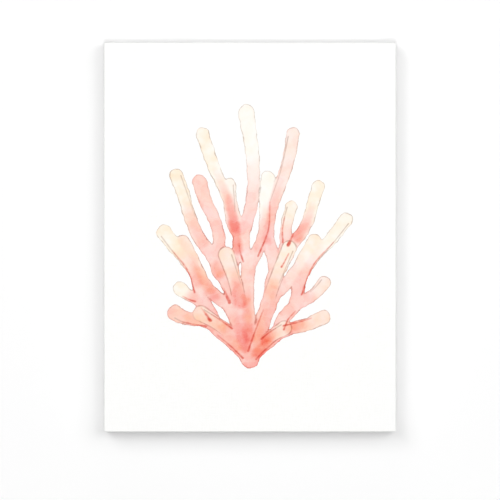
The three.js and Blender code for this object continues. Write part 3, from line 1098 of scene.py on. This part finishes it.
@dataclass
class CanvasWrap:
    """The cloth: the flat face, four wrapped sides, and a flap turned over and stapled to the bars.

    At each corner the surplus cloth is tucked under the top or bottom side, so that side has a folded
    edge along the corner, thicker cloth beside it, and a slanting edge across the back.
    """

    low: Vector
    high: Vector
    staples: list[Vector]
    flap: float = 25 * MM
    radius: float = 1.2 * MM
    corner: float = 1.2 * MM
    thickness: float = 0.5 * MM
    shear: float = 42 * MM
    tuck_height: float = 0.75 * MM
    tuck_edge: tuple[float, float] = (0.5 * MM, 0.9 * MM)
    pucker: float = 0.3 * MM
    dent: float = 0.16 * MM
    uneven_cut: float = 0.8 * MM
    arc_steps: int = 6
    gap: float = 9 * MM
    least_gap: float = 0.19 * MM
    face_lines_mm: tuple[float, ...] = (14, 9, 5, 3, 2.3)
    flap_lines_mm: tuple[float, ...] = (3, 5, 7, 9, 11, 12.5, 13.5, 14.5, 16, 18, 20, 22.5, 25)
    fold_lines_mm: tuple[float, ...] = (0, 0.3, 0.5, 0.7, 0.9, 1.2, 2, 4, 7, 11, 16, 21, 25, 30, 36, 42)
    staple_lines_mm: tuple[float, ...] = (-6, -3.5, -1.5, 0, 1.5, 3.5, 6)
    coated: Finish = field(default_factory=lambda: CoatedCanvas("coated_canvas"))
    raw: Finish = field(default_factory=lambda: RawCanvas("raw_canvas"))

    @property
    def centre(self) -> Vector:
        """The middle of the cloth's box."""
        return (self.low + self.high) / 2

    @property
    def half(self) -> tuple[float, float]:
        """Half the width and half the height of the face."""
        return (self.high.x - self.low.x) / 2, (self.high.z - self.low.z) / 2

    @property
    def cut_size(self) -> tuple[float, float]:
        """Width and height that the cloth was cut to before it was stretched."""
        depth = self.high.y - self.low.y
        wrap = 2 * (depth + self.flap)
        return 2 * self.half[0] + wrap, 2 * self.half[1] + wrap

    def rings(self) -> list[Ring]:
        """The rings from just inside the face's edge round to the cut edge of the flap."""
        front, back, radius = self.low.y, self.high.y, self.radius
        quarter = math.pi / 2
        side = back - front - 2 * radius
        flat = 2 * radius * quarter + side
        rings = [Ring(i * MM, front, radius - i * MM, 0.0, -1.0) for i in self.face_lines_mm]
        turns = np.linspace(0.0, quarter, self.arc_steps + 1)
        bends = [(turn, 0.0) for turn in turns]
        bends += [(quarter, share * side) for share in np.linspace(0.0, 1.0, 12)[1:-1]]
        bends += [(quarter + turn, side) for turn in turns]
        for turn, past in bends:
            sine, cosine = math.sin(turn), math.cos(turn)
            y = front + radius * (1 - cosine) + past
            rings.append(Ring(radius * (1 - sine), y, radius * turn + past, sine, -cosine))
        for inset in self.flap_lines_mm:
            rings.append(Ring(inset * MM, back, flat + inset * MM - radius, 0.0, 1.0))
        return rings

    def stations(self, half: float, spots: list[float]) -> np.ndarray:
        """Places along one side where the mesh has a line of vertices.

        Args:
            half: half the side's length.
            spots: places of its staples, which get lines of their own.

        Returns:
            Sorted places, from minus to plus the length of the straight part.
        """
        reach = half - self.corner
        ends = [line * MM for line in self.fold_lines_mm]
        near = [s + d * MM for s in spots for d in self.staple_lines_mm]
        inner = reach - self.shear
        spread = np.arange(-inner, inner, self.gap)
        middle = [p for p in (*near, *spread) if abs(p) < inner - 2 * MM]
        places = sorted([*middle, *(reach - e for e in ends), *(e - reach for e in ends)])
        kept = [places[0]]
        for place in places[1:]:
            if place - kept[-1] > self.least_gap:
                kept.append(place)
        return np.array(kept)

    def sheared(self, places: np.ndarray, half: float, ring: Ring) -> np.ndarray:
        """Where a side's lines of vertices cross a ring: those by its ends lean in with the mitre.

        Args:
            places: the lines' places along the side.
            half: half the side's length.
            ring: the ring.

        Returns:
            Places along the ring.
        """
        rounding = max(self.corner - ring.inset, 0.0)
        offset = half - self.corner - np.abs(places)
        share = 1.0 - (ring.inset + rounding - self.corner) / self.shear
        mitred = half - ring.inset - rounding - offset * share
        return np.sign(places) * np.where(offset < self.shear, mitred, np.abs(places))

    def tuck(self, offset: np.ndarray, ring: Ring) -> np.ndarray:
        """How far the folded corner lifts the cloth.

        Args:
            offset: distance from the end of the side's straight part.
            ring: the ring that the cloth is on.

        Returns:
            Lift along the ring's normal.
        """
        depth = max(ring.run, 0.0)
        reach = min(depth, 33 * MM)
        edge = smoothstep(*self.tuck_edge, offset)
        far = 1.0 - smoothstep(reach - 7 * MM, reach + 5 * MM, offset)
        groove = hill((offset - 0.4 * MM) / (0.2 * MM))
        start = min(depth / (9 * MM), 1.0)
        return start * (self.tuck_height * edge * far - self.dent * groove)

    def fray(self, run: np.ndarray, offset: np.ndarray, side: int, ring: Ring) -> np.ndarray:
        """How unevenly the cloth was cut: the edge of the flap wanders in and out.

        Args:
            run: places along the side.
            offset: distance from the end of the side's straight part.
            side: number of the side, 0 to 3.
            ring: the ring that the cloth is on.

        Returns:
            Distance that the cloth falls short or runs over.
        """
        share = max(ring.inset - 0.6 * self.flap, 0.0) / (0.4 * self.flap)
        if ring.backward < 0.99:
            share = 0.0
        wander = np.sin(31 * run + 2.0 * side) + 0.5 * np.sin(83 * run + side)
        return self.uneven_cut * share * wander * smoothstep(2 * MM, 30 * MM, offset)

    def slack(self, points: np.ndarray, ring: Ring) -> np.ndarray:
        """How the flap lies: pressed down at each staple, rippled beside it, and lifted at its edge.

        Args:
            points: the ring's vertices.
            ring: the ring that the cloth is on.

        Returns:
            Lift off the bars.
        """
        if ring.backward < 0.99:
            return np.zeros(len(points))
        x, z = points[:, 0], points[:, 2]
        wave = np.sin(130 * x + 2 * np.sin(70 * z)) * np.sin(110 * z + 1.5 * np.sin(60 * x))
        lift = (0.25 * MM) * (ring.inset / self.flap) ** 2 * (1.2 + wave)
        for spot in self.staples:
            across, up = x - spot.x, z - spot.z
            away = np.hypot(across, up)
            ripple = np.cos(5 * np.arctan2(up, across) + 40 * spot.x)
            lift = lift * (1.0 - hill(away / (9 * MM)))
            lift = lift + self.pucker * hill((away - 8 * MM) / (4 * MM)) * (0.35 + 0.5 * ripple)
            lift = lift - self.dent * hill(away / (4 * MM))
        return lift

    def press(self, points: np.ndarray) -> np.ndarray:
        """How much of the fold's height is kept beside the staples.

        Args:
            points: the ring's vertices.

        Returns:
            A share per vertex, nought right under a staple.
        """
        kept = np.ones(len(points))
        for spot in self.staples:
            away = np.hypot(points[:, 0] - spot.x, points[:, 2] - spot.z)
            kept *= 1.0 - hill(away / (6.5 * MM))
        return kept

    def loop(self, ring: Ring, columns: np.ndarray, rows: np.ndarray) -> tuple[np.ndarray, np.ndarray]:
        """One ring's vertices, anticlockwise from the lower left, and their place on the flat cloth.

        Args:
            ring: the ring to make.
            columns: the lines of vertices along the top and bottom.
            rows: those along the left and right.

        Returns:
            Points, and flat cloth coordinates with a third value of 0.
        """
        wide, tall = self.half
        rounding = max(self.corner - ring.inset, 0.0)
        points, flats = [], []
        for side in range(4):
            level = side % 2 == 0
            places, half, across = (columns, wide, tall) if level else (rows, tall, wide)
            places = places if side < 2 else -places[::-1]
            run = self.sheared(places, half, ring)
            offset = half - self.corner - np.abs(places)
            out = across - ring.inset - self.fray(run, offset, side, ring)
            turn = side * math.pi / 2
            forward = np.array([math.cos(turn), 0.0, math.sin(turn)])
            normal = np.array([math.sin(turn), 0.0, -math.cos(turn)])
            flat_out = across - self.radius + ring.run
            here = run[:, None] * forward + out[:, None] * normal
            lifted = here + np.array(self.centre)
            lift = self.slack(lifted, ring)
            if level:
                lift = lift + self.tuck(offset, ring) * self.press(lifted)
            here += lift[:, None] * (ring.outward * normal + np.array([0.0, ring.backward, 0.0]))
            points.append(here)
            flats.append(run[:, None] * forward + flat_out * normal)
            for step in (1, 2, 3):
                bend = step / 4 * math.pi / 2
                middle = (half - ring.inset - rounding) * forward
                middle = middle + (across - ring.inset - rounding) * normal
                aim = math.sin(bend) * forward + math.cos(bend) * normal
                points.append((middle + rounding * aim)[None])
                flats.append(((half - ring.inset) * forward + flat_out * normal)[None])
        loop = np.vstack(points)
        loop[:, 1] += ring.y - self.centre.y
        flat = np.vstack(flats)
        return loop + np.array(self.centre), np.stack([flat[:, 0], flat[:, 2], 0 * flat[:, 0]], 1)

    def build(self) -> Object:
        wide, tall = self.half
        x_spots = sorted({round(s.x - self.centre.x, 5) for s in self.staples})
        z_spots = sorted({round(s.z - self.centre.z, 5) for s in self.staples})
        columns, rows = self.stations(wide, x_spots), self.stations(tall, z_spots)
        rings = self.rings()
        loops, flats = zip(*(self.loop(ring, columns, rows) for ring in rings))
        count = len(loops[0])
        faces = []
        for level in range(len(loops) - 1):
            inner, outer = level * count, (level + 1) * count
            for here in range(count):
                after = (here + 1) % count
                faces.append([inner + here, outer + here, outer + after, inner + after])
        xs, zs = self.sheared(columns, wide, rings[0]), self.sheared(rows, tall, rings[0])
        flat = np.array([(x, z, 0.0) for x in xs for z in zs])
        sheet = flat[:, [0, 2, 1]] + (self.centre.x, self.low.y, self.centre.z)
        deep = len(zs)
        for i in range(len(xs) - 1):
            for j in range(deep - 1):
                corner = len(loops) * count + i * deep + j
                faces.append([corner, corner + deep, corner + deep + 1, corner + 1])
        points = np.vstack([*loops, sheet])
        cloth = np.vstack([*flats, flat])
        cloth[:, :2] += np.array([self.centre.x, self.centre.z])
        piece = mesh_object("canvas_wrap", points, faces, {"cloth": cloth})
        self.dress(piece)
        return piece

    def dress(self, piece: Object) -> None:
        """Args:
            piece: the wrapped cloth.
        """
        configure(piece.modifiers.new("weld", "WELD"), merge_threshold=0.02 * MM)
        solid = piece.modifiers.new("thickness", "SOLIDIFY")
        sides = {"material_offset": 1, "material_offset_rim": 1}
        configure(solid, thickness=self.thickness, offset=-1.0, **sides)
        for finish in (self.coated, self.raw):
            piece.data.materials.append(finish.build())
        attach(piece, "root")
        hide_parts("canvas")


# ---------------------------------------------------------------- wood, steel and rubber


@dataclass
class Dressing:
    """A finish and softened edges for the model's own nodes."""

    nodes: list[Object]
    finish: Finish
    edge: float
    segments: int = 2

    def build(self) -> None:
        """Gives every node of the group the finish, and rounds its sharp edges."""
        material = self.finish.build()
        for node in self.nodes:
            node.data.materials.clear()
            node.data.materials.append(material)
            configure(node.modifiers.new("weld", "WELD"), merge_threshold=0.005 * MM)
            bevel = node.modifiers.new("edges", "BEVEL")
            limit = {"limit_method": "ANGLE", "angle_limit": math.radians(35)}
            configure(bevel, width=self.edge, segments=self.segments, harden_normals=False, **limit)


# ---------------------------------------------------------------- staging


@dataclass
class Studio:
    """The wall that the print hangs on, a floor far below, soft light, and a camera square to it.

    Share is how much of the view's width the print takes, and drop is how far below the middle of the
    print the camera stands.
    """

    face: Vector
    width: float
    lens: float = 200.0
    sensor: float = 36.0
    share: float = 0.584
    drop: float = 20 * MM
    floor: float = 1.45
    rear_spread: float = math.radians(24)
    room: float = 12.0

    def plane(self, name: str, finish: Finish, **settings: object) -> None:
        """A square plane, level and facing up unless the settings turn it.

        Args:
            name: its name.
            finish: its paint.
            **settings: settings of the object.
        """
        reach = self.room / 2
        corners = reach * np.array([(-1, -1, 0), (1, -1, 0), (1, 1, 0), (-1, 1, 0)])
        piece = mesh_object(name, corners, [[0, 1, 2, 3]])
        piece.data.materials.append(finish.build())
        configure(piece, visible_diffuse=False, **settings)

    def lamp(self, name: str, place: Vector, aim: Vector, size: float, watts: float) -> None:
        """A square area lamp.

        Args:
            name: its name.
            place: where it stands.
            aim: the point that it looks at.
            size: the length of its side.
            watts: its power.
        """
        data = bpy.data.lights.new(name, "AREA")
        configure(data, size=size, energy=watts)
        if place.y > aim.y:
            data.spread = self.rear_spread
        lamp = bpy.data.objects.new(name, data)
        turned = (aim - place).to_track_quat("-Z", "Y").to_euler()
        configure(lamp, location=place, rotation_euler=turned)
        bpy.context.scene.collection.objects.link(lamp)

    def build(self) -> None:
        """Sets up the wall, floor, lamps, world and camera."""
        upright = (math.pi / 2, 0.0, 0.0)
        wall = MattPaint("wall_paint", one_sided=True)
        self.plane("wall", wall, rotation_euler=upright, visible_shadow=False)
        floor = MattPaint("floor_paint", "#D2D2D0", glow=0.5)
        self.plane("floor", floor, location=(0.0, 0.0, self.face.z - self.floor))
        self.light()
        self.camera()

    def light(self) -> None:
        """Lamps and world."""
        lamps = (
            ("far_right", (3.4, -4.2, 0.9), 2.4, 36),
            ("high_right", (2.6, -4.2, 2.4), 2.4, 19),
            ("high_left", (-2.6, -4.2, 2.4), 2.4, 63),
            ("near_right", (1.3, -4.4, 0.5), 1.6, 39),
            ("near_left", (-1.3, -4.4, 0.5), 1.6, 34),
            ("fill_low", (0.0, -5.0, -0.9), 1.0, 96),
            ("graze_right", (4.4, -0.32, 0.3), 1.0, 22),
            ("graze_left", (-4.4, -0.32, 0.3), 1.0, 22),
            ("graze_top", (0.0, -0.32, 4.4), 1.0, 27),
            ("behind", (0.0, 4.2, 1.1), 0.5, 3.6),
        )
        for name, place, size, watts in lamps:
            self.lamp(name, self.face + Vector(place), self.face, size, watts)
        world = bpy.data.worlds.new("studio")
        world.use_nodes = True
        tree = world.node_tree
        seen = add(tree, "LightPath", output="Is Camera Ray")
        strength = add(tree, "MapRange", (seen, 0.0, 1.0, 0.03, 0.9))
        feed(tree.nodes["Background"], {"Color": linear("#FFFFFF"), "Strength": strength})
        bpy.context.scene.world = world
        bpy.context.scene.view_settings.view_transform = "Standard"

    def camera(self) -> None:
        """A long lens, square to the face and a little below its middle."""
        data = bpy.data.cameras.new("camera")
        configure(data, lens=self.lens, sensor_width=self.sensor, clip_end=50.0)
        camera = bpy.data.objects.new("camera", data)
        distance = self.width / self.share * self.lens / self.sensor
        place = self.face + Vector((0.0, -distance, -self.drop))
        configure(camera, location=place, rotation_euler=(math.pi / 2, 0.0, 0.0))
        bpy.context.scene.collection.objects.link(camera)
        bpy.context.scene.camera = camera


# ---------------------------------------------------------------- assembly


def main() -> None:
    """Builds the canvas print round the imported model."""
    logging.basicConfig(level=logging.INFO, format="%(message)s")
    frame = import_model()

    def starting(*starts: str) -> list[Object]:
        """The model's nodes whose names start in one of the ways given."""
        return [node for name, node in frame["nodes"].items() if name.startswith(starts)]

    low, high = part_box("canvas")
    staples = [sum(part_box(node.name), Vector()) / 2 for node in starting("staple_")]
    wrap = CanvasWrap(low, high, staples)
    LOG.info("canvas: %s", wrap.build().name)
    print_piece = CoralPrint(wrap.centre, low.y).build()
    LOG.info("coral: %s, %d faces", print_piece.name, len(print_piece.data.polygons))

    across = PlanedPine("planed_pine_across", Grain.ACROSS)
    upright = PlanedPine("planed_pine_upright", Grain.UPRIGHT)
    groups = (
        Dressing(starting("stretcher_bar_top", "stretcher_bar_bottom"), across, 0.5 * MM),
        Dressing(starting("stretcher_bar_left", "stretcher_bar_right"), upright, 0.5 * MM),
        Dressing(starting("corner_key"), SawnBeech("sawn_beech"), 0.4 * MM),
        Dressing(starting("staple_"), ZincedSteel("galvanised_wire"), 0.1 * MM),
        Dressing(starting("sawtooth", "hanger_nail"), ZincedSteel("zinc_plate"), 0.1 * MM),
        Dressing(starting("wall_bumper"), MouldedRubber("moulded_rubber"), 0.1 * MM),
    )
    for group in groups:
        group.build()
        LOG.info("%s: %d pieces", group.finish.name, len(group.nodes))

    face = Vector((wrap.centre.x, low.y, wrap.centre.z))
    Studio(face, high.x - low.x).build()
    LOG.info("studio: wall, floor, lamps and camera")


if __name__ == "__main__":
    main()
